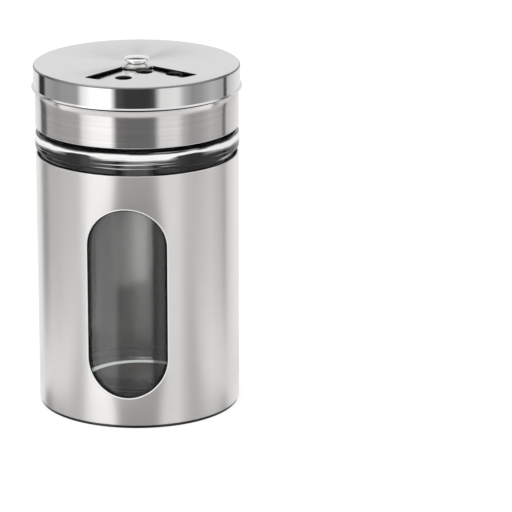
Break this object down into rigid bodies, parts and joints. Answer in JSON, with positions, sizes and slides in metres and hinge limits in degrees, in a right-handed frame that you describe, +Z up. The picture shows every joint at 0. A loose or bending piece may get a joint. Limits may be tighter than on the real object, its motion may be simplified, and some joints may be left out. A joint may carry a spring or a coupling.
{
  "type": "spice shaker",
  "caption": "Table spice shaker: glass jar in a windowed steel sleeve, screw lid with a perforated deck under a turning dial with a fan-shaped opening.",
  "frame": {"origin": "centre of the base where it meets the table", "axes": "+Z up along the jar's axis, -Y is the front, towards which the oval window faces"},
  "size_m": [0.0642, 0.0642, 0.1091],
  "materials": {
    "base_steel": "satin stamped stainless steel",
    "sleeve_steel": "satin stainless steel, fine upright sheen",
    "jar_glass": "clear soda glass",
    "seal_rubber": "soft translucent silicone",
    "liner_plastic": "moulded polypropylene",
    "lid_steel": "brushed stainless steel, brushed around",
    "dial_steel": "spun stainless steel, polished around",
    "rivet_chrome": "polished",
    "washer_plastic": "moulded nylon",
    "washer_steel": "plain stainless steel"
  },
  "bodies": {
    "jar": {"glass_jar": "jar_glass", "outer_sleeve": "sleeve_steel", "base_plate": "base_steel"},
    "seal": {"seal_ring": "seal_rubber"},
    "pivot": {"pivot_rivet": "rivet_chrome", "spacer_washer": "washer_plastic", "spring_washer": "washer_steel", "back_washer": "washer_steel"},
    "lid": {"lid_shell": "lid_steel", "thread_liner": "liner_plastic"},
    "dial": {"rotating_cover": "dial_steel"}
  },
  "joints": [
    {"name": "lid_lift", "type": "slide", "parent": "jar", "child": "seal", "axis": [0, 0, 1], "range_m": [0, 0.03]},
    {"name": "lid_rise", "type": "slide", "parent": "seal", "child": "pivot", "axis": [0, 0, 1], "range_m": [0, 0.00501]},
    {"name": "lid_turn", "type": "hinge", "parent": "pivot", "child": "lid", "pos_m": [0, 0, 0.1055], "axis": [0, 0, 1], "range_deg": [0, 450]},
    {"name": "dial_turn", "type": "hinge", "parent": "lid", "child": "dial", "pos_m": [0, 0, 0.1072], "axis": [0, 0, 1], "continuous": true}
  ],
  "couplings": [
    {"joint": "lid_rise", "follows": "lid_turn", "m_per_rad": 0.00063662}
  ]
}
